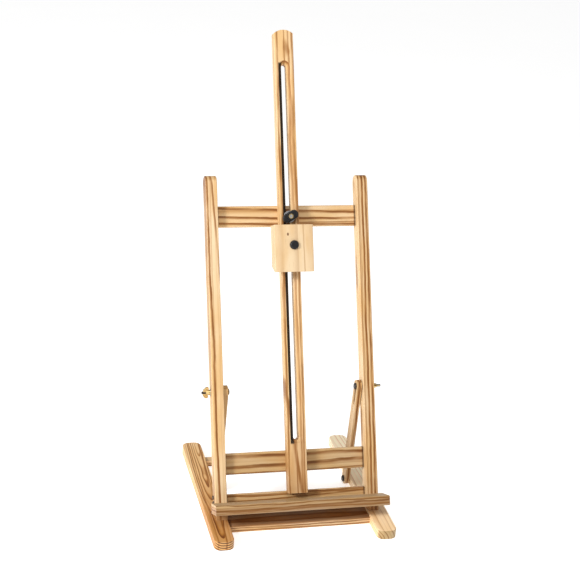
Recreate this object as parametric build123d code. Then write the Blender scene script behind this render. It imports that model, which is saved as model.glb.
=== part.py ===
from build123d import *
import math
import os

# Tabletop H-frame artist easel, millimetres.
# +X to the artist's right, +Y to the back, +Z up; the origin is on the table, under the middle of the
# front stretcher.
# The H frame leans back. Its pieces are drawn upright in their own axes (X across, Y to the back from
# the front of the uprights, Z up from the foot) and lean_back() then puts them on the base.

# ---- base ----
base_width = 345
base_length = 372
runner_width = 37
runner_thickness = 18
runner_corner = 13
edge_round = 1.2
stretcher_thickness = 13
base_middle_y = 101.5
front_stretcher_front = -27.5
front_stretcher_back = 50
rear_stretcher_front = 217.5
rear_stretcher_back = 233.5

# ---- H frame ----
recline = 25
foot_y = -11.15
frame_span = 314
upright_width = 21.5
upright_depth = 29
upright_height = 640.5
foot_gap = 0.3
bar_front = 16
bar_height = 39.5
upper_bar_bottom = 543.8
lower_bar_bottom = 81
rail_bottom = 14.5
rail_top = 44.5
ledge_length = 331
ledge_depth = 46
ledge_thickness = 18.2
ledge_bottom = 14
ledge_round = 2.0

# ---- mast with its bevelled slot ----
mast_width = 37
mast_front = -4.7
mast_back = 15.8
mast_bottom = 42
mast_top = 915
mast_crown = 7
slot_bottom = 142
slot_top = 850
slot_width = 10
slot_bevel = 7

# ---- canvas clamp ----
clamp_width = 74
clamp_depth = 30
clamp_bottom = 455.5
clamp_top = 543.5
clamp_bevel = 12
clamp_lip = 9
clamp_gap = 0.2
clamp_bolt_height = 505.5
tongue_length = 46
tongue_play = 0.4

# ---- struts ----
strut_thickness = 9
strut_width = 24.5
strut_top_height = 236
strut_top_depth = 18
strut_foot_y = 124.85
strut_foot_z = 10.6
strut_foot_rise = 2
strut_slot_width = 8.4
strut_slot_travel = 37
side_gap = 0.1
spacer_thickness = 1.0

# ---- fasteners ----
dowel_diameter = 8
dowel_length = 30
bolt_diameter = 6
thin_bolt_diameter = 5
running_fit = 0.05
washer_thickness = 1.2
screw_diameter = 4
small_screw_diameter = 3
mast_bolt_height = 560.5

# ---- butt hinges behind the bottom rail ----
hinge_places = (-85, 85)
hinge_width = 40
leaf_length = 20
leaf_thickness = 2
barrel_radius = 3
barrel_offset = 2.8
barrel_drop = 1.77
knuckle_width = 13
knuckle_gap = 0.4
hinge_pin_radius = 1.25

inner_side = frame_span / 2 - upright_width
outer_side = frame_span / 2
runner_inner = base_width / 2 - runner_width
strut_outer = inner_side - spacer_thickness - side_gap
strut_inner = strut_outer - strut_thickness
sides = (-1, 1)

lean = Pos(0, foot_y, runner_thickness) * Rot(-recline, 0, 0)


def lean_back(shape):
    """Put a piece drawn in the frame's own upright axes on the reclined frame."""
    return lean * shape


def slab(x0, x1, y0, y1, z0, z1):
    """A plain block between two corners."""
    middle = Pos((x0 + x1) / 2, (y0 + y1) / 2, (z0 + z1) / 2)
    return middle * Box(x1 - x0, y1 - y0, z1 - z0)


def rod_x(radius, x0, x1, y, z):
    """A round bar along X."""
    return Pos((x0 + x1) / 2, y, z) * Rot(0, 90, 0) * Cylinder(radius, abs(x1 - x0))


def rod_y(radius, y0, y1, x, z):
    """A round bar along Y."""
    return Pos(x, (y0 + y1) / 2, z) * Rot(90, 0, 0) * Cylinder(radius, abs(y1 - y0))


def rod_z(radius, z0, z1, x, y):
    """A round bar along Z."""
    return Pos(x, y, (z0 + z1) / 2) * Cylinder(radius, abs(z1 - z0))


def ring_x(outer, inner, x0, x1, y, z):
    """A washer or bush along X."""
    return rod_x(outer, x0, x1, y, z) - rod_x(inner, x0, x1, y, z)


def ring_y(outer, inner, y0, y1, x, z):
    """A washer or bush along Y."""
    return rod_y(outer, y0, y1, x, z) - rod_y(inner, y0, y1, x, z)


def domed_head_y(radius, height, y_seat, outward, x, z):
    """A low dome head whose flat side sits at y_seat and whose crown points along outward."""
    head = rod_y(radius, y_seat, y_seat + outward * height, x, z)
    crown = head.faces().sort_by(Axis.Y)[0 if outward < 0 else -1]
    return fillet(crown.edges(), height * 0.7)


def domed_head_x(radius, height, x_seat, outward, y, z):
    """The same dome head along X."""
    head = rod_x(radius, x_seat, x_seat + outward * height, y, z)
    crown = head.faces().sort_by(Axis.X)[0 if outward < 0 else -1]
    return fillet(crown.edges(), height * 0.7)


# ------------------------------------------------------------------ base

stretcher_dowel_places = (
    (front_stretcher_front + 12, stretcher_thickness / 2),
    (front_stretcher_back - 16, stretcher_thickness / 2),
    ((rear_stretcher_front + rear_stretcher_back) / 2, stretcher_thickness / 2),
)


def stretcher_dowel(side, y, z):
    """One wooden peg, half in the runner and half in the stretcher."""
    middle = side * runner_inner
    return rod_x(dowel_diameter / 2, middle - dowel_length / 2, middle + dowel_length / 2, y, z)


def make_runner(side):
    """A flat board lying front to back, with its corners rounded in plan."""
    plan = Rectangle(runner_width, base_length)
    plan = fillet(plan.vertices(), runner_corner)
    board = extrude(plan, runner_thickness)
    rims = board.edges().group_by(Axis.Z)
    board = fillet(rims[0] + rims[-1], edge_round)
    board = Pos(side * (base_width - runner_width) / 2, base_middle_y, 0) * board
    for y, z in stretcher_dowel_places:
        board -= stretcher_dowel(side, y, z)
    return board - strut_foot_bolt(side)


def make_stretcher(front, back):
    """A thin board between the two runners."""
    board = slab(-runner_inner, runner_inner, front, back, 0, stretcher_thickness)
    board = fillet(board.edges().filter_by(Axis.X), edge_round)
    for side in sides:
        for y, z in stretcher_dowel_places:
            board -= stretcher_dowel(side, y, z)
    return board


def make_front_stretcher():
    """The front board has a shallow pocket for each hinge and also holds the hinge screws."""
    board = make_stretcher(front_stretcher_front, front_stretcher_back)
    for place in hinge_places:
        board -= base_plate(place)
    for screw in hinge_base_screw_list():
        board -= screw
    return board


# ------------------------------------------------------------------ hinges

hinge_axis_z = rail_bottom - barrel_drop
hinge_axis_y = upright_depth + barrel_offset
hinge_line = lean * Pos(0, hinge_axis_y, hinge_axis_z)
hinge_y = hinge_line.position.Y
hinge_z = hinge_line.position.Z


def barrel(x, y, z, from_x, to_x, radius):
    """A length of the hinge barrel."""
    return rod_x(radius, x + from_x, x + to_x, y, z)


def make_leaf(x, y, z, plate, middle_knuckle):
    """A plate with its share of the three knuckles, bored for the pin."""
    half = hinge_width / 2
    own = [(-knuckle_width / 2, knuckle_width / 2)]
    other = [(-half, -knuckle_width / 2 - knuckle_gap), (knuckle_width / 2 + knuckle_gap, half)]
    if not middle_knuckle:
        own, other = other, own
    leaf = plate
    for a, b in other:
        leaf -= barrel(x, y, z, a - knuckle_gap, b + knuckle_gap, barrel_radius + knuckle_gap)
    for a, b in own:
        leaf += barrel(x, y, z, a, b, barrel_radius)
    return leaf - barrel(x, y, z, -half, half, hinge_pin_radius + running_fit)


def hinge_screw_spots():
    """Where the two screws of a leaf stand: across the leaf and away from the barrel."""
    return [(shift, leaf_length - 6) for shift in (-12, 12)]


def hinge_base_screw_list():
    """Countersunk screws that hold the lower leaves in the front stretcher."""
    screws = []
    for place in hinge_places:
        for shift, away in hinge_screw_spots():
            screws.append(countersunk_screw(place + shift, hinge_y + away))
    return screws


def base_plate(place):
    """The flat part of a lower leaf, flush with the top of the front stretcher."""
    half = hinge_width / 2
    return slab(place - half, place + half, hinge_y, hinge_y + leaf_length,
                stretcher_thickness - leaf_thickness, stretcher_thickness)


def countersunk_screw(x, y):
    """A small screw standing in the stretcher, head flush with the top of the lower leaf."""
    top = stretcher_thickness
    head = Pos(x, y, top - leaf_thickness / 2) * Cone(small_screw_diameter / 2, small_screw_diameter,
                                                      leaf_thickness)
    shank = rod_z(small_screw_diameter / 2, 2.5, top - leaf_thickness, x, y)
    return head + shank


def make_hinge_base_leaves():
    """The two lower leaves: each plate has a short web up to its middle knuckle."""
    leaves = []
    for place in hinge_places:
        half = knuckle_width / 2
        web = slab(place - half, place + half, hinge_y, hinge_y + barrel_radius,
                   stretcher_thickness - leaf_thickness, hinge_z)
        leaf = make_leaf(place, hinge_y, hinge_z, base_plate(place) + web, True)
        for screw in hinge_base_screw_list():
            leaf -= screw
        leaves.append(leaf)
    return Compound(children=leaves)


def frame_leaf_screw(x, height):
    """A small screw driven forward through the upper leaf into the bottom rail."""
    back = upright_depth + leaf_thickness
    head = Pos(x, back - leaf_thickness / 2, height) * Rot(-90, 0, 0) * Cone(
        small_screw_diameter / 2, small_screw_diameter, leaf_thickness)
    shank = rod_y(small_screw_diameter / 2, upright_depth - 10, upright_depth, x, height)
    return head + shank


def hinge_frame_screw_list():
    """The screws of both upper leaves, in the frame's own axes."""
    screws = []
    for place in hinge_places:
        for shift, away in hinge_screw_spots():
            screws.append(frame_leaf_screw(place + shift, hinge_axis_z + away))
    return screws


def make_hinge_frame_leaves():
    """The two upper leaves, on the back of the bottom rail."""
    leaves = []
    for place in hinge_places:
        half = hinge_width / 2
        plate = slab(place - half, place + half, upright_depth, upright_depth + leaf_thickness,
                     hinge_axis_z, hinge_axis_z + leaf_length)
        leaf = make_leaf(place, hinge_axis_y, hinge_axis_z, plate, False)
        for screw in hinge_frame_screw_list():
            leaf -= screw
        leaves.append(lean_back(leaf))
    return Compound(children=leaves)


def make_hinge_pins():
    """One pin through the three knuckles of each hinge."""
    half = hinge_width / 2
    return Compound(children=[barrel(place, hinge_y, hinge_z, -half, half, hinge_pin_radius)
                              for place in hinge_places])


# ------------------------------------------------------------------ H frame

def bar_dowel(side, height):
    """One peg between an upright and the end of a crossbar."""
    middle = side * inner_side
    depth = (bar_front + upright_depth) / 2
    return rod_x(dowel_diameter / 2, middle - dowel_length / 2, middle + dowel_length / 2, depth, height)


def bar_dowel_list():
    """Two pegs at each end of the upper and lower crossbars."""
    pegs = []
    for bottom in (upper_bar_bottom, lower_bar_bottom):
        for share in (0.25, 0.75):
            for side in sides:
                pegs.append(bar_dowel(side, bottom + share * bar_height))
    return pegs


rail_screw_heights = (29.5, 40.0)


def rail_screw(side, height):
    """A round-head screw through an upright into the end of the bottom rail."""
    depth = (bar_front + upright_depth) / 2
    shank = rod_x(screw_diameter / 2, side * (inner_side - 25), side * outer_side, depth, height)
    head = domed_head_x(screw_diameter, 1.8, side * outer_side, side, depth, height)
    return head + shank


def rail_screw_list():
    """Two screws at each end of the bottom rail."""
    return [rail_screw(side, height) for side in sides for height in rail_screw_heights]


def ledge_screw(side, height):
    """A screw from the back of an upright into the ledge, its head in a counterbore."""
    x = side * (inner_side + outer_side) / 2
    seat = upright_depth - 6
    shank = rod_y(screw_diameter / 2, -22, seat, x, height)
    head = rod_y(screw_diameter, seat, seat + 3, x, height)
    return head + shank


def ledge_screw_list():
    """One screw behind each upright."""
    return [ledge_screw(side, ledge_bottom + ledge_thickness / 2) for side in sides]


def make_upright(side):
    """A post with a rounded top; its foot is cut level so that it stands flat over the runner."""
    middle = side * (inner_side + outer_side) / 2
    half = upright_width / 2
    radius = upright_depth / 2
    post = slab(middle - half, middle + half, 0, upright_depth, 0, upright_height - radius)
    post += rod_x(radius, middle - half, middle + half, radius, upright_height - radius)
    sill = slab(middle - upright_width, middle + upright_width, foot_y - 60, foot_y + 60,
                runner_thickness - 40, runner_thickness + foot_gap)
    post -= lean.inverse() * sill
    post = fillet(post.edges().filter_by(Axis.Z), edge_round)
    for peg in bar_dowel_list() + rail_screw_list():
        post -= peg
    x = side * (inner_side + outer_side) / 2
    post -= ledge_screw(side, ledge_bottom + ledge_thickness / 2)
    post -= rod_y(screw_diameter, upright_depth - 6, upright_depth + 1, x, ledge_bottom + ledge_thickness / 2)
    post -= clamp_bolt_shank(side)
    return lean_back(post)


def make_bar(bottom, height):
    """A flat crossbar between the uprights, in the frame's own axes."""
    bar = slab(-inner_side, inner_side, bar_front, upright_depth, bottom, bottom + height)
    return fillet(bar.edges().filter_by(Axis.X), edge_round)


def make_upper_crossbar():
    """The bar that carries the mast bolt."""
    bar = make_bar(upper_bar_bottom, bar_height)
    for peg in bar_dowel_list():
        bar -= peg
    bar -= rod_y(bolt_diameter / 2, bar_front, upright_depth, 0, mast_bolt_height)
    return lean_back(bar)


def make_lower_crossbar():
    """The lower bar, behind the foot of the mast."""
    bar = make_bar(lower_bar_bottom, bar_height)
    for peg in bar_dowel_list():
        bar -= peg
    return lean_back(bar)


def make_bottom_rail():
    """The rail behind the ledge, screwed between the uprights and hinged to the base."""
    rail = make_bar(rail_bottom, rail_top - rail_bottom)
    for screw in rail_screw_list() + hinge_frame_screw_list():
        rail -= screw
    return lean_back(rail)


def make_ledge():
    """The shelf that the canvas stands on, across the front of both uprights."""
    half = ledge_length / 2
    shelf = slab(-half, half, -ledge_depth, 0, ledge_bottom, ledge_bottom + ledge_thickness)
    front_edges = shelf.edges().filter_by(Axis.X).sort_by(Axis.Y)[:2]
    shelf = fillet(front_edges, ledge_round)
    for screw in ledge_screw_list():
        shelf -= screw
    return lean_back(shelf)


# ------------------------------------------------------------------ struts and their fasteners

strut_pin = lean * Pos(0, strut_top_depth, strut_top_height)
strut_rise = strut_pin.position.Z - strut_foot_z
strut_run = strut_pin.position.Y - strut_foot_y
strut_length = math.hypot(strut_rise, strut_run)
strut_tilt = math.degrees(math.atan2(strut_run, strut_rise))
strut_place = Pos(0, strut_foot_y, strut_foot_z) * Rot(-strut_tilt, 0, 0)
bolt_head_thickness = 3.6
bolt_head_radius = 6.5


def strut_foot_bolt(side):
    """The pivot bolt at the foot of a strut, driven into the runner's inner face."""
    seat = strut_inner - side_gap
    head = domed_head_x(bolt_head_radius, bolt_head_thickness, side * seat, -side, strut_foot_y, strut_foot_z)
    shank = rod_x(bolt_diameter / 2, side * seat, side * (runner_inner + 22), strut_foot_y, strut_foot_z)
    return head + shank


def clamp_bolt_shank(side):
    """The thin shank of the tilt bolt, in the frame's own axes."""
    return rod_x(thin_bolt_diameter / 2, side * (strut_inner - side_gap), side * (outer_side + 17),
                 strut_top_depth, strut_top_height)


def tilt_bolt(side):
    """The bolt through the strut slot and the upright, with its round head on the inner side."""
    head = domed_head_x(bolt_head_radius, bolt_head_thickness, side * (strut_inner - side_gap), -side,
                        strut_top_depth, strut_top_height)
    return lean_back(head + clamp_bolt_shank(side))


def make_strut(side):
    """A flat bar with round ends: a pivot hole at the foot and a slot for the tilt bolt at the top."""
    radius = strut_width / 2
    x0, x1 = sorted((side * strut_inner, side * strut_outer))
    bar = slab(x0, x1, -radius, radius, strut_foot_rise, strut_length)
    bar += rod_x(radius, x0, x1, 0, strut_foot_rise)
    bar += rod_x(radius, x0, x1, 0, strut_length)
    slot_radius = strut_slot_width / 2
    slot_low = strut_length - strut_slot_travel
    bar -= slab(x0, x1, -slot_radius, slot_radius, slot_low, strut_length)
    for height in (slot_low, strut_length):
        bar -= rod_x(slot_radius, x0, x1, 0, height)
    bar -= rod_x(bolt_diameter / 2 + running_fit, x0, x1, 0, 0)
    return strut_place * bar


def make_strut_foot_washers():
    """Thin spacers between the runners and the feet of the struts."""
    return Compound(children=[ring_x(bolt_head_radius, bolt_diameter / 2, side * runner_inner,
                                     side * (runner_inner - spacer_thickness), strut_foot_y, strut_foot_z)
                              for side in sides])


def make_tilt_spacers():
    """Thin spacers between the uprights and the tops of the struts."""
    return Compound(children=[lean_back(ring_x(bolt_head_radius, thin_bolt_diameter / 2, side * inner_side,
                                               side * (inner_side - spacer_thickness),
                                               strut_top_depth, strut_top_height))
                              for side in sides])


def make_tilt_washers():
    """Washers under the wing nuts."""
    return Compound(children=[lean_back(ring_x(7, thin_bolt_diameter / 2, side * outer_side,
                                               side * (outer_side + washer_thickness),
                                               strut_top_depth, strut_top_height))
                              for side in sides])


wing_nut_length = 8
wing_hub_radius = 5.2
wing_hub_taper = 1.3
wing_ear_length = 13
wing_ear_width = 7.5
wing_ear_rise = 4.0
wing_ear_out = 6.8
wing_ear_lean = 38
wing_thickness = 2.4
wing_turn = {-1: 35, 1: 90}


def make_wing_nut(side):
    """A brass wing nut: a tapered hub with two ears that flare outward."""
    hub = Cone(wing_hub_radius, wing_hub_radius - wing_hub_taper, wing_nut_length)
    ear_place = Pos(wing_ear_out, wing_ear_rise) * Rot(0, 0, -wing_ear_lean)
    ear_profile = Plane.XZ * (ear_place * SlotOverall(wing_ear_length, wing_ear_width))
    ear = extrude(ear_profile, wing_thickness / 2, both=True)
    nut = hub + ear + Rot(0, 0, 180) * ear
    nut -= Cylinder(thin_bolt_diameter / 2 + running_fit, 4 * wing_nut_length)
    seat = outer_side + washer_thickness + side_gap
    turned = Rot(wing_turn[side], 0, 0) * Rot(0, side * 90, 0) * nut
    place = Pos(side * (seat + wing_nut_length / 2), strut_top_depth, strut_top_height)
    return lean_back(place * turned)


# ------------------------------------------------------------------ mast, mast bolt and knob

def slot_outline(width, low, high):
    """An upright slot with round ends, drawn on the XZ plane."""
    return Pos(0, (low + high) / 2) * Rot(0, 0, 90) * SlotOverall(high - low, width)


def slot_bevel_cut():
    """What the bevel takes away: a wedge along the slot with half a cone at each end."""
    narrow = slot_width / 2
    wide = narrow + slot_bevel
    deep = mast_front + slot_bevel
    low = slot_bottom + narrow
    high = slot_top - narrow
    profile = make_face(Polyline((-wide, mast_front), (wide, mast_front), (narrow, deep),
                                 (-narrow, deep), close=True))
    cut = Pos(0, 0, low) * extrude(profile, high - low)
    for end in (low, high):
        cut += Pos(0, mast_front + slot_bevel / 2, end) * Rot(-90, 0, 0) * Cone(wide, narrow, slot_bevel)
    return cut


def make_mast():
    """One tall board with a low crown and a long slot whose front edges are bevelled."""
    half = mast_width / 2
    crown = mast_top - mast_crown
    with BuildSketch() as outline:
        with BuildLine():
            Polyline((half, crown), (half, mast_bottom), (-half, mast_bottom), (-half, crown))
            ThreePointArc((-half, crown), (0, mast_top), (half, crown))
        make_face()
    board = Pos(0, mast_back, 0) * extrude(Plane.XZ * outline.sketch, mast_back - mast_front)
    board = fillet(board.edges().filter_by(Axis.Z), edge_round)
    through = Pos(0, mast_back + 1, 0) * extrude(
        Plane.XZ * slot_outline(slot_width, slot_bottom, slot_top), mast_back - mast_front + 2)
    return lean_back(board - through - slot_bevel_cut())


knob_hub_radius = 7
knob_hub_end = -8
knob_end = -19
knob_span = 32
knob_lobe = 17
knob_insert_radius = 4.6
knob_rim = 2.2
mast_bolt_head = 7.5
knob_turn = 60
washer_face = mast_front + 0.4


def make_mast_bolt():
    """A round-head bolt from the back of the upper crossbar, through the mast slot."""
    head = domed_head_y(mast_bolt_head, bolt_head_thickness, upright_depth, 1, 0, mast_bolt_height)
    shank = rod_y(bolt_diameter / 2, knob_end + 1.5, upright_depth, 0, mast_bolt_height)
    return lean_back(head + shank)


def make_mast_washer():
    """The cone washer that centres the mast bolt between the bevels of the slot."""
    wide = slot_width / 2 + slot_bevel - tongue_play - 0.4
    depth = slot_bevel - 1.2
    place = Pos(0, washer_face + depth / 2, mast_bolt_height) * Rot(-90, 0, 0)
    bore = rod_y(bolt_diameter / 2, washer_face - 1, washer_face + depth + 1, 0, mast_bolt_height)
    return lean_back(place * Cone(wide, wide - depth, depth) - bore)


def make_mast_knob():
    """A two-lobed plastic knob that clamps the mast."""
    seat = washer_face - side_gap
    hub = rod_y(knob_hub_radius, knob_end, seat, 0, 0)
    wing_plan = Plane.XZ * (Rot(0, 0, 90) * SlotOverall(knob_span, knob_lobe))
    wings = Pos(0, knob_hub_end, 0) * extrude(wing_plan, knob_hub_end - knob_end - 2)
    rims = wings.edges().group_by(Axis.Y)
    wings = fillet(rims[0] + rims[-1], knob_rim)
    knob = wings + hub
    knob -= rod_y(knob_insert_radius, knob_end - 1, seat + 1, 0, 0)
    return lean_back(Pos(0, 0, mast_bolt_height) * Rot(0, knob_turn, 0) * knob)


def make_mast_knob_insert():
    """The brass bush moulded into the mast knob."""
    return lean_back(ring_y(knob_insert_radius, bolt_diameter / 2 + running_fit, knob_end + 0.6,
                            washer_face - side_gap, 0, mast_bolt_height))


# ------------------------------------------------------------------ canvas clamp

clamp_face = mast_front - clamp_gap
clamp_front = clamp_face - clamp_depth
clamp_back_seat = mast_back + clamp_gap + washer_thickness
cap_radius = 8.6
cap_height = 5.0
clamp_washer_radius = 9
clamp_knob_core = 9.5
clamp_knob_lobe = 5.4
clamp_knob_thickness = 13


def make_clamp_block():
    """The block over the top of the canvas: its lower edge is bevelled and its tongue rides in the mast."""
    half = clamp_width / 2
    block = slab(-half, half, clamp_front, clamp_face, clamp_bottom, clamp_top)
    bevel_profile = make_face(Polyline((clamp_front + clamp_lip, clamp_bottom),
                                       (clamp_face + 1, clamp_bottom),
                                       (clamp_face + 1, clamp_bottom + clamp_bevel), close=True))
    bevel = extrude(Plane.YZ * bevel_profile, half + 1, both=True)
    block -= bevel
    block = fillet(block.edges().filter_by(Axis.Z), edge_round)
    wide = slot_width / 2 + slot_bevel - clamp_gap - tongue_play
    depth = slot_bevel - 1
    profile = make_face(Polyline((-wide, clamp_face), (wide, clamp_face), (wide - depth, clamp_face + depth),
                                 (depth - wide, clamp_face + depth), close=True))
    low = clamp_bolt_height - tongue_length / 2
    block += Pos(0, 0, low) * extrude(profile, tongue_length)
    block -= rod_y(bolt_diameter / 2, clamp_front, mast_back, 0, clamp_bolt_height)
    return lean_back(block)


def make_clamp_bolt():
    """The long bolt through the clamp block and the mast slot."""
    shank = rod_y(bolt_diameter / 2, clamp_front - 1.5, clamp_back_seat + 16, 0, clamp_bolt_height)
    return lean_back(shank)


def make_clamp_cap():
    """The black round cap over the front end of the clamp bolt."""
    cap = domed_head_y(cap_radius, cap_height, clamp_front, -1, 0, clamp_bolt_height)
    cap -= rod_y(bolt_diameter / 2, clamp_front - 1.5, clamp_front + 1, 0, clamp_bolt_height)
    return lean_back(cap)


def make_clamp_washer():
    """The washer between the back of the mast and the clamp knob."""
    return lean_back(ring_y(clamp_washer_radius, bolt_diameter / 2, clamp_back_seat - washer_thickness,
                            clamp_back_seat, 0, clamp_bolt_height))


def make_clamp_knob():
    """A three-lobed plastic knob behind the mast."""
    seat = clamp_back_seat + side_gap
    plan = Circle(clamp_knob_core)
    for turn in (90, 210, 330):
        plan += Rot(0, 0, turn) * Pos(clamp_knob_core, 0) * Circle(clamp_knob_lobe)
    knob = Pos(0, seat, 0) * extrude(Plane.XZ * plan, -clamp_knob_thickness)
    knob -= rod_y(knob_insert_radius, seat - 1, seat + clamp_knob_thickness + 1, 0, 0)
    return lean_back(Pos(0, 0, clamp_bolt_height) * knob)


def make_clamp_knob_insert():
    """The brass bush moulded into the clamp knob."""
    seat = clamp_back_seat + side_gap
    return lean_back(ring_y(knob_insert_radius, bolt_diameter / 2 + running_fit, seat,
                            seat + clamp_knob_thickness - 1, 0, clamp_bolt_height))


# ------------------------------------------------------------------ all the nodes

def all_nodes():
    """Every sub-part of the easel by its own name."""
    base_dowels = [stretcher_dowel(side, y, z) for side in sides for y, z in stretcher_dowel_places]
    return {
        "left_base_runner": make_runner(-1),
        "right_base_runner": make_runner(1),
        "front_stretcher": make_front_stretcher(),
        "rear_stretcher": make_stretcher(rear_stretcher_front, rear_stretcher_back),
        "stretcher_dowels": Compound(children=base_dowels),
        "hinge_base_leaves": make_hinge_base_leaves(),
        "hinge_pins": make_hinge_pins(),
        "hinge_base_screws": Compound(children=hinge_base_screw_list()),
        "strut_foot_bolts": Compound(children=[strut_foot_bolt(side) for side in sides]),
        "strut_foot_washers": make_strut_foot_washers(),
        "left_upright": make_upright(-1),
        "right_upright": make_upright(1),
        "upper_crossbar": make_upper_crossbar(),
        "lower_crossbar": make_lower_crossbar(),
        "bottom_rail": make_bottom_rail(),
        "crossbar_dowels": Compound(children=[lean_back(peg) for peg in bar_dowel_list()]),
        "bottom_rail_screws": Compound(children=[lean_back(screw) for screw in rail_screw_list()]),
        "canvas_ledge": make_ledge(),
        "ledge_screws": Compound(children=[lean_back(screw) for screw in ledge_screw_list()]),
        "hinge_frame_leaves": make_hinge_frame_leaves(),
        "hinge_frame_screws": Compound(children=[lean_back(screw) for screw in hinge_frame_screw_list()]),
        "tilt_bolts": Compound(children=[tilt_bolt(side) for side in sides]),
        "tilt_spacers": make_tilt_spacers(),
        "tilt_washers": make_tilt_washers(),
        "left_wing_nut": make_wing_nut(-1),
        "right_wing_nut": make_wing_nut(1),
        "left_strut": make_strut(-1),
        "right_strut": make_strut(1),
        "mast_bolt": make_mast_bolt(),
        "mast_washer": make_mast_washer(),
        "mast_knob": make_mast_knob(),
        "mast_knob_insert": make_mast_knob_insert(),
        "mast": make_mast(),
        "clamp_block": make_clamp_block(),
        "clamp_bolt": make_clamp_bolt(),
        "clamp_cap": make_clamp_cap(),
        "clamp_washer": make_clamp_washer(),
        "clamp_knob": make_clamp_knob(),
        "clamp_knob_insert": make_clamp_knob_insert(),
    }


os.makedirs("parts", exist_ok=True)
for name, shape in all_nodes().items():
    export_step(shape, f"parts/{name}.step")
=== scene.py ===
import math

import bmesh
import bpy
from mathutils import Matrix, Vector


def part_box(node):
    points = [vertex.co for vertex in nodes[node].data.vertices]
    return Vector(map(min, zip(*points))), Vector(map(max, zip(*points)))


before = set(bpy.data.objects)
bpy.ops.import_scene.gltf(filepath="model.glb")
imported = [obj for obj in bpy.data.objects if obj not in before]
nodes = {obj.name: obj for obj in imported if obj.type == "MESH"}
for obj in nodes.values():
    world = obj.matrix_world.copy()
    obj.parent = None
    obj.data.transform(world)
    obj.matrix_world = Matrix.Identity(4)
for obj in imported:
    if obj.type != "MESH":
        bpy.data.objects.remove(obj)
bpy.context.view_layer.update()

MM = 0.001
RECLINE = math.radians(25)
ACROSS = Vector((1, 0, 0))
BACK = Vector((0, 1, 0))
UP = Vector((0, 0, 1))
ALONG = Vector((0, math.sin(RECLINE), math.cos(RECLINE)))


# ------------------------------------------------------------------ shader helpers

class Shader:
    """Builds one node material with short calls."""

    def __init__(self, name):
        self.material = bpy.data.materials.new(name)
        self.material.use_nodes = True
        self.tree = self.material.node_tree
        self.bsdf = self.tree.nodes["Principled BSDF"]

    def put(self, socket, value):
        if isinstance(value, bpy.types.NodeSocket):
            self.tree.links.new(value, socket)
        elif value is not None:
            socket.default_value = value

    def math(self, operation, a, b=None, c=None, clamp=False):
        node = self.tree.nodes.new("ShaderNodeMath")
        node.operation = operation
        node.use_clamp = clamp
        for socket, value in zip(node.inputs, (a, b, c)):
            self.put(socket, value)
        return node.outputs[0]

    def dot(self, vector, direction):
        node = self.tree.nodes.new("ShaderNodeVectorMath")
        node.operation = "DOT_PRODUCT"
        self.put(node.inputs[0], vector)
        node.inputs[1].default_value = direction
        return node.outputs["Value"]

    def place(self):
        """Position in the object's own axes, so the grain stays in the piece when it moves."""
        return self.tree.nodes.new("ShaderNodeTexCoord").outputs["Object"]

    def join(self, x, y, z):
        node = self.tree.nodes.new("ShaderNodeCombineXYZ")
        for socket, value in zip(node.inputs, (x, y, z)):
            self.put(socket, value)
        return node.outputs[0]

    def noise(self, vector, scale=1.0, detail=2.0, roughness=0.5):
        node = self.tree.nodes.new("ShaderNodeTexNoise")
        self.put(node.inputs["Vector"], vector)
        node.inputs["Scale"].default_value = scale
        node.inputs["Detail"].default_value = detail
        node.inputs["Roughness"].default_value = roughness
        return node.outputs["Fac"]

    def smooth(self, value, low, high, to_low=0.0, to_high=1.0):
        node = self.tree.nodes.new("ShaderNodeMapRange")
        node.interpolation_type = "SMOOTHSTEP"
        self.put(node.inputs["Value"], value)
        node.inputs["From Min"].default_value = low
        node.inputs["From Max"].default_value = high
        node.inputs["To Min"].default_value = to_low
        node.inputs["To Max"].default_value = to_high
        return node.outputs[0]

    def ramp(self, factor, stops):
        node = self.tree.nodes.new("ShaderNodeValToRGB")
        self.put(node.inputs[0], factor)
        elements = node.color_ramp.elements
        while len(elements) < len(stops):
            elements.new(0.5)
        for element, (position, color) in zip(elements, stops):
            element.position = position
            element.color = (*color, 1.0)
        return node.outputs[0]

    def mix(self, factor, a, b, blend="MIX"):
        node = self.tree.nodes.new("ShaderNodeMix")
        node.data_type = "RGBA"
        node.blend_type = blend
        self.put(node.inputs[0], factor)
        for socket, value in ((node.inputs[6], a), (node.inputs[7], b)):
            if isinstance(value, tuple):
                value = (*value, 1.0)
            self.put(socket, value)
        return node.outputs[2]

    def bump(self, height, strength, distance):
        node = self.tree.nodes.new("ShaderNodeBump")
        node.inputs["Strength"].default_value = strength
        node.inputs["Distance"].default_value = distance
        self.put(node.inputs["Height"], height)
        return node.outputs[0]

    def edges(self, radius):
        """0 on flat faces, rising to 1 on a rounded or worn edge."""
        bevel = self.tree.nodes.new("ShaderNodeBevel")
        bevel.samples = 4
        bevel.inputs["Radius"].default_value = radius
        plain = self.tree.nodes.new("ShaderNodeNewGeometry").outputs["Normal"]
        node = self.tree.nodes.new("ShaderNodeVectorMath")
        node.operation = "DOT_PRODUCT"
        self.tree.links.new(bevel.outputs[0], node.inputs[0])
        self.tree.links.new(plain, node.inputs[1])
        return self.smooth(node.outputs["Value"], 0.995, 0.86)


# ------------------------------------------------------------------ pine

PALE = (0.80, 0.61, 0.385)
HONEY = (0.70, 0.445, 0.20)
AMBER = (0.42, 0.175, 0.035)
RUST = (0.16, 0.052, 0.013)
# Brown of a board's darker side; on the front stretcher it is painted shade under the ledge.
DARK_SIDE_BROWN = (0.33, 0.165, 0.085)
CREAM = (0.92, 0.78, 0.56)
KNOT = (0.16, 0.06, 0.02)
# Near-black colour of the painted shade in the mast's slot.
SLOT_SHADE_BLACK = (0.010, 0.005, 0.003)
BAND = (0.05, 0.018, 0.008)
# Colour of the painted shade at the ends of the crossbars, where they meet the uprights.
JOINT_SHADE_BROWN = (0.07, 0.03, 0.012)
WORN = (0.86, 0.66, 0.42)
PER_METRE = 1000.0
EDGE_RADIUS = 1.6 * MM
KNOT_STRETCH = 0.62


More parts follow.
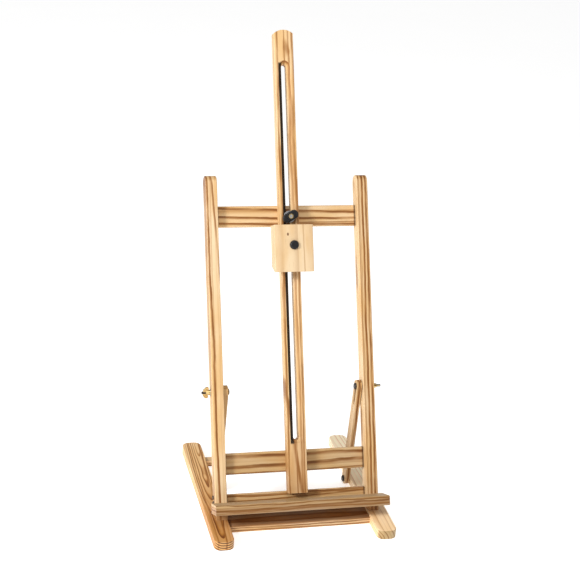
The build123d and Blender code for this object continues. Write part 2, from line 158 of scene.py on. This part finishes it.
class Board(Shader):
    """Solid wood with its own axes in mm: a across the wide face, b into the board, l along the grain."""

    def __init__(self, name, origin, grain, across, seed):
        super().__init__(name)
        self.grain = grain
        self.seed = seed
        self.start = Vector(origin)
        self.spot = self.place()
        self.a = self.measure(across)
        self.b = self.measure(grain.cross(across).normalized())
        self.l = self.measure(grain)

    def measure(self, axis):
        """Distance in mm from the board's origin along an axis."""
        base = -PER_METRE * self.start.dot(axis)
        return self.math("MULTIPLY_ADD", self.dot(self.spot, axis), PER_METRE, base)

    def field(self, scale, run, offset, detail, roughness):
        """Noise drawn out along the grain: scale is its frequency across the grain and run that along it."""
        at = self.join(self.math("MULTIPLY", self.a, scale), self.math("MULTIPLY", self.b, scale),
                       self.math("MULTIPLY_ADD", self.l, run, offset))
        return self.noise(at, 1.0, detail, roughness)

    def swing(self, scale, run, offset, roughness):
        """The same noise, moved to lie about zero."""
        return self.math("SUBTRACT", self.field(scale, run, offset, 2.0, roughness), 0.5)

    def length(self, x, y):
        """How far the point (x, y) is from zero."""
        return self.math("SQRT", self.math("ADD", self.math("MULTIPLY", x, x), self.math("MULTIPLY", y, y)))

    def window(self, value, low, high, soft):
        """1 between low and high, fading to 0 outside over twice the soft width."""
        return self.math("MULTIPLY", self.smooth(value, low - soft, low + soft),
                         self.smooth(value, high + soft, high - soft))

    def stain(self, colour, mask, strength, target):
        """Mixes the target colour in where the mask is."""
        return self.mix(self.math("MULTIPLY", mask, strength), colour, target)

    def pith_distance(self, pith, tilt, warp, bend, wave):
        """Distance in mm from the heart of the log, which wanders along the board."""
        across = self.math("MULTIPLY_ADD", self.l, -tilt[0], self.math("SUBTRACT", self.a, float(pith[0])))
        deep = self.math("MULTIPLY_ADD", self.l, -tilt[1], self.math("SUBTRACT", self.b, float(pith[1])))
        across = self.math("MULTIPLY_ADD", bend, warp * 6.0, across)
        deep = self.math("MULTIPLY_ADD", wave, warp * 6.0, deep)
        return self.length(across, deep)

    def knots(self, knots):
        """How far the rings swell round the knots, and the dark knots themselves."""
        swell = 0.0
        mask = 0.0
        for across, along, radius in knots:
            side = self.math("SUBTRACT", self.a, float(across))
            ahead = self.math("MULTIPLY", self.math("SUBTRACT", self.l, float(along)), KNOT_STRETCH)
            away = self.length(side, ahead)
            rise = self.smooth(away, radius * 3.2, radius * 0.4)
            swell = self.math("MULTIPLY_ADD", rise, radius * 1.7, swell)
            mask = self.math("MAXIMUM", mask, self.smooth(away, radius * 1.05, radius * 0.75))
        return swell, mask

    def late_wood(self, radius, rings):
        """0 in early wood, rising to 1 at the hard dark end of each year ring."""
        turn = self.math("DIVIDE", radius, float(rings))
        uneven = self.noise(self.join(self.math("MULTIPLY", turn, 0.45), self.seed * 1.7, 0.0), 1.0, 1.0)
        turn = self.math("MULTIPLY_ADD", uneven, 1.3, turn)
        share = self.math("FRACT", turn)
        year = self.math("MULTIPLY", self.math("FLOOR", turn), 3.17)
        vigour = self.noise(self.join(year, self.seed * 2.9, 5.0), 1.0, 0.0)
        vigour = self.smooth(vigour, 0.36, 0.64, 0.28, 1.0)
        late = self.math("MULTIPLY", self.smooth(share, 0.42, 0.90), self.smooth(share, 1.0, 0.945))
        return self.math("MULTIPLY", late, vigour)

    def streaks(self, streaks, bend, wane):
        """Single late rings that show as clear lines, soft on one side and sharp on the other."""
        ripple = self.swing(0.05, 0.045, self.seed * 4.3, 0.5)
        lines = 0.0
        for at, run, width, strength in streaks:
            off = self.math("MULTIPLY_ADD", self.l, -run, self.math("SUBTRACT", self.a, float(at)))
            off = self.math("MULTIPLY_ADD", bend, 7.0, off)
            off = self.math("MULTIPLY_ADD", ripple, 2.2, off)
            off = self.math("DIVIDE", off, float(width))
            mark = self.math("MULTIPLY", self.smooth(off, -1.5, -0.1), self.smooth(off, 1.0, 0.35))
            mark = self.math("MULTIPLY", mark, strength)
            mark = self.math("MULTIPLY", mark, self.smooth(wane, 0.3, 0.6, 0.55, 1.0))
            lines = self.math("MAXIMUM", lines, mark)
        return lines

    def cut_face(self):
        """1 where the saw has cut across the grain."""
        skin = self.tree.nodes.new("ShaderNodeTexCoord").outputs["Normal"]
        return self.smooth(self.math("ABSOLUTE", self.dot(skin, self.grain)), 0.25, 0.65)

    def cut_bands(self, bands, cut):
        """Bold arcs of late wood on a cut face."""
        spacing, offset = bands
        arc = self.math("ADD", self.b, float(offset))
        arc = self.math("MULTIPLY_ADD", self.math("MULTIPLY", self.a, self.a), 0.012, arc)
        arc = self.math("FRACT", self.math("DIVIDE", arc, float(spacing)))
        ring = self.math("MULTIPLY", self.smooth(arc, 0.30, 0.62), self.smooth(arc, 0.98, 0.84))
        return self.math("MULTIPLY", ring, cut)

    def burn(self, painted_slot_shade, wane):
        """Painted shade on one bevel of a slot, near black and a little uneven."""
        left, right, low, high, strength = painted_slot_shade
        over = self.math("MULTIPLY", self.window(self.a, left, right, 0.3),
                         self.window(self.l, low, high, 2.0))
        return self.math("MULTIPLY", over, self.smooth(wane, 0.2, 0.5, strength * 0.9, strength))

    def surface(self, colour, late, fibre, hair, ducts, burnt):
        """Satin roughness and the relief of the grain."""
        self.put(self.bsdf.inputs["Base Color"], colour)
        rough = self.math("MULTIPLY_ADD", fibre, 0.20, 0.40)
        rough = self.math("MULTIPLY_ADD", late, -0.10, rough)
        if burnt is not None:
            rough = self.math("MULTIPLY_ADD", burnt, 0.4, rough)
        self.put(self.bsdf.inputs["Roughness"], rough)
        self.bsdf.inputs["Specular IOR Level"].default_value = 0.28
        height = self.math("MULTIPLY_ADD", late, 0.55, self.math("MULTIPLY", fibre, 0.8))
        height = self.math("MULTIPLY_ADD", hair, 0.35, height)
        height = self.math("MULTIPLY_ADD", ducts, -0.5, height)
        self.put(self.bsdf.inputs["Normal"], self.bump(height, 0.35, 0.25 * MM))


def pine(name, origin, grain, across, rings=5.5, pith=(30, 60), tilt=(0.0, 0.0), warp=2.0,
         streaks=(), knots=(), dark_side=None, painted_slot_shade=None, shift=None, joint_shade=None, bands=None,
         cut_tone=(0.92, 0.88, 0.80), warmth=0.0, depth=1.0, tone=1.0, seed=1):
    """Solid pine cut from a log.

    origin is a point in the board in metres, grain runs along the board and across lies in its wide face.
    rings is the width of a year ring in mm, pith the heart of the log in mm from the origin (across, deep),
    tilt how the heart runs off along the board and warp how much the rings wander. Each streak is one clear
    line: (place across mm, run-off, width mm, strength). Each knot is (across, along, radius) in mm.
    dark_side is (place across mm, softness mm, strength) of a darker side of the board, which on the front
    stretcher is painted shade under the ledge, painted_slot_shade is (from, to across, from, to along,
    strength) of near-black painted shade on one bevel of a slot, shift is (from, to along mm, strength,
    colour) of a slow change of colour, which on the uprights is painted shade on the foot under the ledge,
    joint_shade is how far along the painted shade at the joints lies, bands is (spacing mm, offset mm) of
    bold rings on the end grain, and cut_tone is the tone of the end grain. warmth moves the wood from pale to
    honey, depth is the contrast of its rings, tone its brightness and seed its own pattern.
    """
    s = Board(name, origin, grain, across, seed)
    bend = s.swing(0.012, 0.0065, seed * 7.31, 0.45)
    wave = s.swing(0.02, 0.011, seed * 3.77 + 40.0, 0.5)
    wane = s.noise(s.join(s.math("MULTIPLY", s.a, 0.11), 3.0,
                          s.math("MULTIPLY_ADD", s.l, 0.014, seed * 8.1)), 1.0, 2.0)
    fibre = s.field(1.9, 0.035, seed * 1.13, 5.0, 0.68)
    hair = s.field(5.5, 0.12, seed * 2.41, 3.0, 0.6)
    ducts = s.smooth(s.field(1.35, 0.055, seed * 5.9, 1.0, 0.5), 0.70, 0.78)
    cloud = s.field(0.035, 0.008, seed * 9.7, 2.0, 0.55)
    swell, knot_mask = s.knots(knots)
    late = s.late_wood(s.math("ADD", s.pith_distance(pith, tilt, warp, bend, wave), swell), rings)
    lines = s.streaks(streaks, bend, wane)
    cut = s.cut_face()
    burnt = s.burn(painted_slot_shade, wane) if painted_slot_shade else None

    colour = s.ramp(s.math("ADD", s.smooth(cloud, 0.25, 0.75), warmth), [(0.0, PALE), (1.0, HONEY)])
    # A darker side across the board; on the front stretcher's top face this is painted shade under the ledge.
    if dark_side:
        side = s.math("MULTIPLY_ADD", wave, 6.0, s.a)
        colour = s.stain(colour, s.smooth(side, dark_side[0] + dark_side[1], dark_side[0] - dark_side[1]), dark_side[2], DARK_SIDE_BROWN)
    # A slow change of colour along the board; on the uprights it is painted shade on the foot under the
    # ledge.
    if shift:
        colour = s.mix(s.smooth(s.l, shift[0], shift[1], 0.0, shift[2]), colour, shift[3])
    ring_tint = s.math("MULTIPLY", late, s.math("MULTIPLY_ADD", cut, 0.5, 1.1 * depth), clamp=True)
    colour = s.mix(ring_tint, colour, AMBER)
    ring_core = s.math("MULTIPLY", s.math("POWER", late, 3.0), s.math("MULTIPLY_ADD", cut, 0.5, 0.85 * depth),
                       clamp=True)
    colour = s.mix(ring_core, colour, RUST)
    colour = s.mix(s.math("MULTIPLY", lines, 0.95, clamp=True), colour, AMBER)
    colour = s.mix(s.math("MULTIPLY", s.math("POWER", lines, 2.0), 0.75, clamp=True), colour, RUST)
    colour = s.stain(colour, ducts, 0.30, RUST)
    colour = s.stain(colour, knot_mask, 0.92, KNOT)
    grainy = s.math("MULTIPLY_ADD", fibre, 0.34, 0.83)
    grainy = s.math("MULTIPLY_ADD", hair, 0.12, s.math("SUBTRACT", grainy, 0.06))
    colour = s.mix(1.0, colour, s.ramp(grainy, [(0.0, (0, 0, 0)), (1.0, (1, 1, 1))]), "MULTIPLY")
    colour = s.mix(cut, colour, s.mix(1.0, colour, cut_tone, "MULTIPLY"))
    if bands:
        colour = s.stain(colour, s.cut_bands(bands, cut), 0.92, BAND)
    # Near-black painted shade on the slot's left bevel.
    if painted_slot_shade:
        colour = s.mix(burnt, colour, SLOT_SHADE_BLACK)
    # Painted shade at both ends of a bar, where the uprights meet it.
    if joint_shade:
        end_shade = s.smooth(s.math("ABSOLUTE", s.l), joint_shade - 5.0, joint_shade - 1.2)
        colour = s.stain(colour, end_shade, 0.85, JOINT_SHADE_BROWN)
    colour = s.stain(colour, s.edges(EDGE_RADIUS), 0.16, WORN)
    colour = s.mix(1.0, colour, (tone, tone, tone), "MULTIPLY")
    s.surface(colour, late, fibre, hair, ducts, burnt)
    return s.material


# Half the length of a crossbar in mm, where the painted shade at its ends lies, and the painted shade on an
# upright's foot under the ledge, as shift in pine().
BAR_HALF = 135.5
UPRIGHT_FOOT_SHADE = (-298, -312, 0.8, AMBER)

# How each board was cut from its log, in the terms that pine() explains.
BOARDS = {
    "left_base_runner": dict(
        grain=BACK, across=ACROSS, rings=3.6, pith=(4, -19), tilt=(0.03, 0.052), warp=1.5,
        warmth=0.35, depth=1.45, tone=1.14, seed=3, shift=(70, -110, 0.75, AMBER),
        cut_tone=(1.25, 1.35, 1.5), bands=(5.0, 20.0), knots=((-2, -84, 2.2), (3, -101, 1.8)),
        streaks=((9.0, 0.03, 2.2, 0.9), (-9.0, 0.015, 1.6, 0.8))),
    "right_base_runner": dict(
        grain=BACK, across=ACROSS, rings=6.0, pith=(-34, 24), tilt=(0.0, 0.03), warp=1.4,
        warmth=-0.2, depth=0.38, tone=1.24, seed=11, shift=(-90, 40, 0.95, CREAM),
        cut_tone=(0.52, 0.50, 0.42)),
    "front_stretcher": dict(
        grain=ACROSS, across=UP, rings=6.0, pith=(30, 20), warp=1.0,
        # The darker side below is painted shade on the top face, under the ledge.
        warmth=0.3, depth=0.9, tone=0.94, seed=5, dark_side=(5.2, -1.0, 0.8),
        streaks=((2.2, 0.002, 1.8, 1.0), (-3.8, 0.0, 1.6, 1.0), (-7.4, 0.0, 1.2, 0.8))),
    "rear_stretcher": dict(
        grain=ACROSS, across=UP, rings=4.4, pith=(8, -30), warp=1.0,
        warmth=0.2, depth=1.1, seed=6, streaks=((1.0, 0.0, 1.2, 0.8),)),
    # Both uprights below take painted shade on their feet under the ledge.
    "left_upright": dict(
        grain=ALONG, across=ACROSS, rings=11.0, pith=(-60, 4), warp=1.0,
        warmth=0.05, depth=0.4, tone=0.95, seed=21, shift=UPRIGHT_FOOT_SHADE,
        streaks=((22.0, -0.075, 2.6, 0.85), (-6.0, -0.012, 2.7, 1.0), (8.6, 0.0, 0.9, 0.35))),
    "right_upright": dict(
        grain=ALONG, across=ACROSS, rings=7.0, pith=(-70, 10), warp=0.8,
        warmth=0.1, depth=0.55, tone=0.95, seed=24, shift=UPRIGHT_FOOT_SHADE,
        streaks=((-1.0, 0.001, 2.7, 1.0), (6.3, 0.0, 2.9, 1.0), (-6.4, 0.0, 1.2, 0.6),
                 (10.0, 0.0, 1.0, 0.6))),
    # The three bars below have painted shade at both ends, where they meet the uprights.
    "upper_crossbar": dict(
        grain=ACROSS, across=ALONG, rings=12.0, pith=(-64, 8), warp=0.8, joint_shade=BAR_HALF,
        warmth=0.35, depth=0.65, tone=0.93, seed=31,
        streaks=((10.9, -0.039, 3.4, 1.0), (-3.5, -0.02, 3.0, 1.0), (-15.4, -0.02, 3.0, 0.95))),
    "lower_crossbar": dict(
        grain=ACROSS, across=ALONG, rings=13.0, pith=(60, 16), warp=1.2, joint_shade=BAR_HALF,
        warmth=0.45, depth=0.65, tone=0.78, seed=34,
        streaks=((13.2, -0.008, 4.2, 1.0), (-4.0, 0.022, 4.2, 1.0), (-17.5, 0.01, 2.2, 0.8))),
    "bottom_rail": dict(
        grain=ACROSS, across=ALONG, rings=5.0, pith=(30, 30), warp=1.4, joint_shade=BAR_HALF,
        warmth=0.6, depth=1.0, tone=0.86, seed=38,
        streaks=((12.0, 0.004, 2.6, 1.0), (4.5, 0.03, 2.4, 0.9))),
    "canvas_ledge": dict(
        grain=ACROSS, across=ALONG, rings=5.5, pith=(34, -26), warp=1.5,
        warmth=0.3, depth=0.8, tone=0.66, seed=41, dark_side=(3.5, 3.5, 0.5), cut_tone=(1.5, 1.5, 1.5),
        streaks=((0.2, 0.008, 2.0, 0.95), (-4.6, 0.01, 1.3, 0.6), (5.2, 0.01, 1.4, 0.6))),
    "mast": dict(
        grain=ALONG, across=ACROSS, rings=8.5, pith=(2, 30), tilt=(0.004, 0.018), warp=1.6,
        warmth=0.2, depth=0.6, tone=0.97, seed=52, shift=(-260, -440, 0.4, AMBER),
        # The next entry is near-black painted shade on the left bevel of the slot.
        painted_slot_shade=(-11.9, -4.9, -344, 374, 0.98),
        streaks=((-51.5, -0.139, 4.4, 0.9), (-14.6, 0.002, 2.4, 0.8), (0.0, 0.0, 1.6, 0.85),
                 (15.0, 0.002, 2.6, 0.8), (9.0, -0.002, 2.4, 0.7))),
    "clamp_block": dict(
        grain=ALONG, across=ACROSS, rings=26.0, pith=(-120, 30), warp=0.7,
        warmth=-0.1, depth=0.25, tone=0.9, seed=61, knots=((-11.5, 22, 2.0),),
        streaks=((18.5, 0.0, 1.6, 0.45), (-24.0, 0.0, 5.0, 0.16))),
    "left_strut": dict(
        grain=UP, across=BACK, rings=5.5, pith=(34, 10), warp=0.8,
        warmth=0.4, depth=0.9, tone=0.8, seed=71),
    "right_strut": dict(
        grain=UP, across=ACROSS, rings=5.5, pith=(-38, 6), warp=0.8,
        warmth=0.3, depth=0.8, tone=0.85, seed=74, streaks=((0.0, 0.0, 2.6, 1.0),)),
}


# ------------------------------------------------------------------ metals and plastic

METAL_EDGE = 0.5 * MM
PLASTIC_EDGE = 0.6 * MM
PLASTIC_DARK = (0.008, 0.008, 0.009)
PLASTIC_LIGHT = (0.022, 0.021, 0.022)
PLASTIC_WORN = (0.09, 0.09, 0.09)


def metal(name, colour, roughness, wear, dark):
    """Turned or plated metal with fine scratches, dulled patches and bright worn edges."""
    s = Shader(name)
    place = s.place()
    patch = s.noise(place, 260.0, 4.0, 0.6)
    scratch = s.noise(s.join(s.dot(place, (4200, 0, 0)), s.dot(place, (0, 300, 0)),
                             s.dot(place, (0, 0, 300))), 1.0, 3.0, 0.6)
    tone = s.mix(s.smooth(patch, 0.42, 0.72), colour, dark)
    worn = s.edges(METAL_EDGE)
    s.put(s.bsdf.inputs["Base Color"], s.mix(s.math("MULTIPLY", worn, 0.6), tone, wear))
    s.bsdf.inputs["Metallic"].default_value = 1.0
    s.put(s.bsdf.inputs["Roughness"], s.math("MULTIPLY_ADD", patch, 0.25, roughness - 0.1))
    s.put(s.bsdf.inputs["Normal"], s.bump(scratch, 0.15, 0.05 * MM))
    return s.material


def black_plastic(name):
    """Moulded black plastic: faint mottle, fine relief and slightly greyed edges."""
    s = Shader(name)
    place = s.place()
    mottle = s.noise(place, 900.0, 3.0, 0.6)
    colour = s.mix(s.smooth(mottle, 0.3, 0.7), PLASTIC_DARK, PLASTIC_LIGHT)
    worn = s.edges(PLASTIC_EDGE)
    s.put(s.bsdf.inputs["Base Color"], s.mix(s.math("MULTIPLY", worn, 0.5), colour, PLASTIC_WORN))
    s.put(s.bsdf.inputs["Roughness"], s.math("MULTIPLY_ADD", mottle, 0.22, 0.22))
    s.bsdf.inputs["Specular IOR Level"].default_value = 0.25
    s.put(s.bsdf.inputs["Normal"], s.bump(mottle, 0.12, 0.08 * MM))
    return s.material


# ------------------------------------------------------------------ finish of each node

SHARP_ANGLE = math.radians(32)


def centre(node):
    """The middle of a node's box at rest, in metres."""
    low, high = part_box(node)
    return (low + high) / 2


def finish_node(node, material):
    """Puts one material on every face of a CAD node and shades it by angle."""
    mesh = nodes[node].data
    mesh.materials.clear()
    mesh.materials.append(material)
    for face in mesh.polygons:
        face.material_index = 0
        face.use_smooth = True
    mesh.set_sharp_from_angle(angle=SHARP_ANGLE)


def finish_wood():
    """Every board has its own cut of the log."""
    for node, settings in BOARDS.items():
        finish_node(node, pine("pine_" + node, centre(node), **settings))
    peg = pine("pine_dowels", (0, 0, 0), grain=ACROSS, across=BACK, rings=3.0, pith=(9, 14), seed=81)
    for node in ("stretcher_dowels", "crossbar_dowels"):
        finish_node(node, peg)


def finish_hardware():
    """Brass hinges and wing nuts, zinc screws and washers, blackened bolts and plastic knobs."""
    brass = metal("brass_satin", (0.72, 0.53, 0.24), 0.34, (0.90, 0.74, 0.42), (0.42, 0.29, 0.12))
    zinc = metal("zinc_plated", (0.60, 0.60, 0.61), 0.36, (0.80, 0.80, 0.80), (0.36, 0.36, 0.37))
    dark = metal("blackened_steel", (0.075, 0.065, 0.06), 0.42, (0.30, 0.27, 0.24), (0.03, 0.028, 0.027))
    plastic = black_plastic("black_knob_plastic")
    finishes = {
        brass: ("hinge_base_leaves", "hinge_frame_leaves", "hinge_pins", "left_wing_nut", "right_wing_nut",
                "mast_knob_insert", "clamp_knob_insert"),
        zinc: ("hinge_base_screws", "hinge_frame_screws", "strut_foot_washers", "tilt_spacers",
               "tilt_washers", "mast_bolt", "mast_washer", "clamp_bolt", "clamp_washer", "ledge_screws"),
        dark: ("strut_foot_bolts", "tilt_bolts", "bottom_rail_screws"),
        plastic: ("mast_knob", "clamp_cap", "clamp_knob"),
    }
    for material, members in finishes.items():
        for node in members:
            finish_node(node, material)


# ------------------------------------------------------------------ studio

WHITE = (1.0, 1.0, 1.0)
FLOOR_HALF = 60.0
FLOOR_GLOW = 0.55
FLOOR_DARK = (0.90, 0.90, 0.90)
FLOOR_LIGHT = (0.93, 0.93, 0.93)
KEY_COLOUR = (1.0, 0.99, 0.97)
ROOM_LIGHT = 0.42
LIGHT_TARGET = (0, 0.1, 0.35)
SENSOR_WIDTH = 36.0
LENS = 88.0
CAMERA_PLACE = (-0.6437, -2.2124, 1.4236)
CAMERA_RIGHT = (0.9704, -0.2309, 0.0713)
CAMERA_FORWARD = (0.2403, 0.8919, -0.3832)


def make_floor():
    """A wide white floor that glows a little, so that its shadows stay soft."""
    mesh = bpy.data.meshes.new("floor")
    build = bmesh.new()
    bmesh.ops.create_grid(build, x_segments=2, y_segments=2, size=FLOOR_HALF)
    build.to_mesh(mesh)
    build.free()
    floor = bpy.data.objects.new("floor", mesh)
    bpy.context.scene.collection.objects.link(floor)
    s = Shader("floor_white")
    tone = s.noise(s.place(), 3.0, 2.0, 0.5)
    s.put(s.bsdf.inputs["Base Color"], s.mix(tone, FLOOR_DARK, FLOOR_LIGHT))
    s.bsdf.inputs["Roughness"].default_value = 0.8
    s.bsdf.inputs["Emission Color"].default_value = (*WHITE, 1.0)
    s.bsdf.inputs["Emission Strength"].default_value = FLOOR_GLOW
    mesh.materials.append(s.material)


def area_light(name, place, size, power, colour):
    """A square light that faces the object."""
    lamp = bpy.data.lights.new(name, "AREA")
    lamp.shape = "SQUARE"
    lamp.size = size
    lamp.energy = power
    lamp.color = colour
    item = bpy.data.objects.new(name, lamp)
    item.location = place
    item.rotation_euler = (Vector(LIGHT_TARGET) - Vector(place)).to_track_quat("-Z", "Y").to_euler()
    bpy.context.scene.collection.objects.link(item)


def make_lights():
    """A key from the left, a wide weak light from above and a pale room."""
    area_light("key", (-2.5, -1.2, 1.9), size=0.7, power=84, colour=KEY_COLOUR)
    area_light("top", (-0.3, -1.2, 2.6), size=1.2, power=20, colour=WHITE)
    world = bpy.data.worlds.new("studio")
    world.use_nodes = True
    background = world.node_tree.nodes["Background"]
    background.inputs["Color"].default_value = (*WHITE, 1.0)
    background.inputs["Strength"].default_value = ROOM_LIGHT
    bpy.context.scene.world = world


def make_camera():
    """A long lens from the front left, above the easel, with a slight roll."""
    data = bpy.data.cameras.new("camera")
    data.sensor_width = SENSOR_WIDTH
    data.lens = LENS
    camera = bpy.data.objects.new("camera", data)
    right = Vector(CAMERA_RIGHT).normalized()
    forward = Vector(CAMERA_FORWARD).normalized()
    up = right.cross(forward).normalized()
    turn = Matrix((right, up, -forward)).transposed().to_4x4()
    camera.matrix_world = Matrix.Translation(CAMERA_PLACE) @ turn
    bpy.context.scene.collection.objects.link(camera)
    bpy.context.scene.camera = camera


def set_tone():
    """Plain display tones, so that the pale wood and white floor keep their values."""
    view = bpy.context.scene.view_settings
    view.view_transform = "Standard"
    view.look = "None"
    view.exposure = 0.0


finish_wood()
finish_hardware()
make_floor()
make_lights()
make_camera()
set_tone()
